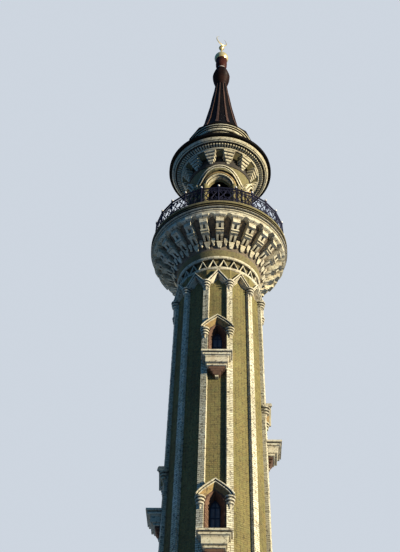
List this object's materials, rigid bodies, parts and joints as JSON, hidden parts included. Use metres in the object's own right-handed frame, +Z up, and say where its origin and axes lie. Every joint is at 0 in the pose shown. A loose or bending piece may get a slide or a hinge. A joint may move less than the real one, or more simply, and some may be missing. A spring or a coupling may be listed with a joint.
{
  "type": "minaret, 1:2 scale model",
  "caption": "Tall tapering twelve-sided brick tower with pilaster strips, gabled windows, a corbelled round balcony, an open arched lantern and a metal spire; half-size model of a minaret",
  "frame": {"origin": "centre of the plinth's underside, at ground level", "axes": "+Z up along the tower's axis, -Y towards the front with the doorway"},
  "size_m": [3.0634, 3.0634, 25.5028],
  "materials": {
    "brickwork": "matte",
    "limestone": "matte",
    "granite": "matte",
    "ironwork": "satin",
    "roof_metal": "satin",
    "gilding": "polished",
    "window_glass": "gloss"
  },
  "bodies": {
    "root": {"shaft_wall_lower_front": "brickwork", "shaft_wall_lower_right": "brickwork", "shaft_wall_lower_back": "brickwork", "shaft_wall_lower_left": "brickwork", "shaft_wall_upper_front": "brickwork", "shaft_wall_upper_right": "brickwork", "shaft_wall_upper_back": "brickwork", "shaft_wall_upper_left": "brickwork", "window_surround_front_1": "limestone", "window_glass_front_1": "window_glass", "window_surround_front_2": "limestone", "window_glass_front_2": "window_glass", "window_surround_front_3": "limestone", "window_glass_front_3": "window_glass", "window_surround_right_1": "limestone", "window_glass_right_1": "window_glass", "window_surround_right_2": "limestone", "window_glass_right_2": "window_glass", "window_surround_right_3": "limestone", "window_glass_right_3": "window_glass", "window_surround_back_1": "limestone", "window_glass_back_1": "window_glass", "window_surround_back_2": "limestone", "window_glass_back_2": "window_glass", "window_surround_back_3": "limestone", "window_glass_back_3": "window_glass", "window_surround_left_1": "limestone", "window_glass_left_1": "window_glass", "window_surround_left_2": "limestone", "window_glass_left_2": "window_glass", "plinth": "granite", "arcade_ring": "limestone", "neck_drum": "limestone", "balcony_bowl": "limestone", "balcony_slab": "limestone", "railing_front_right": "ironwork", "railing_back_right": "ironwork", "railing_back_left": "ironwork", "railing_front_left": "ironwork", "lantern_pier_front_right": "brickwork", "lantern_pier_back_right": "brickwork", "lantern_pier_back_left": "brickwork", "lantern_pier_front_left": "brickwork", "lantern_arches": "limestone", "lantern_cornice": "limestone", "eave_roof": "roof_metal", "upper_drum": "limestone", "spire": "roof_metal", "spire_knob": "roof_metal", "gilded_ball": "gilding", "crescent": "gilding"}
  },
  "joints": []
}
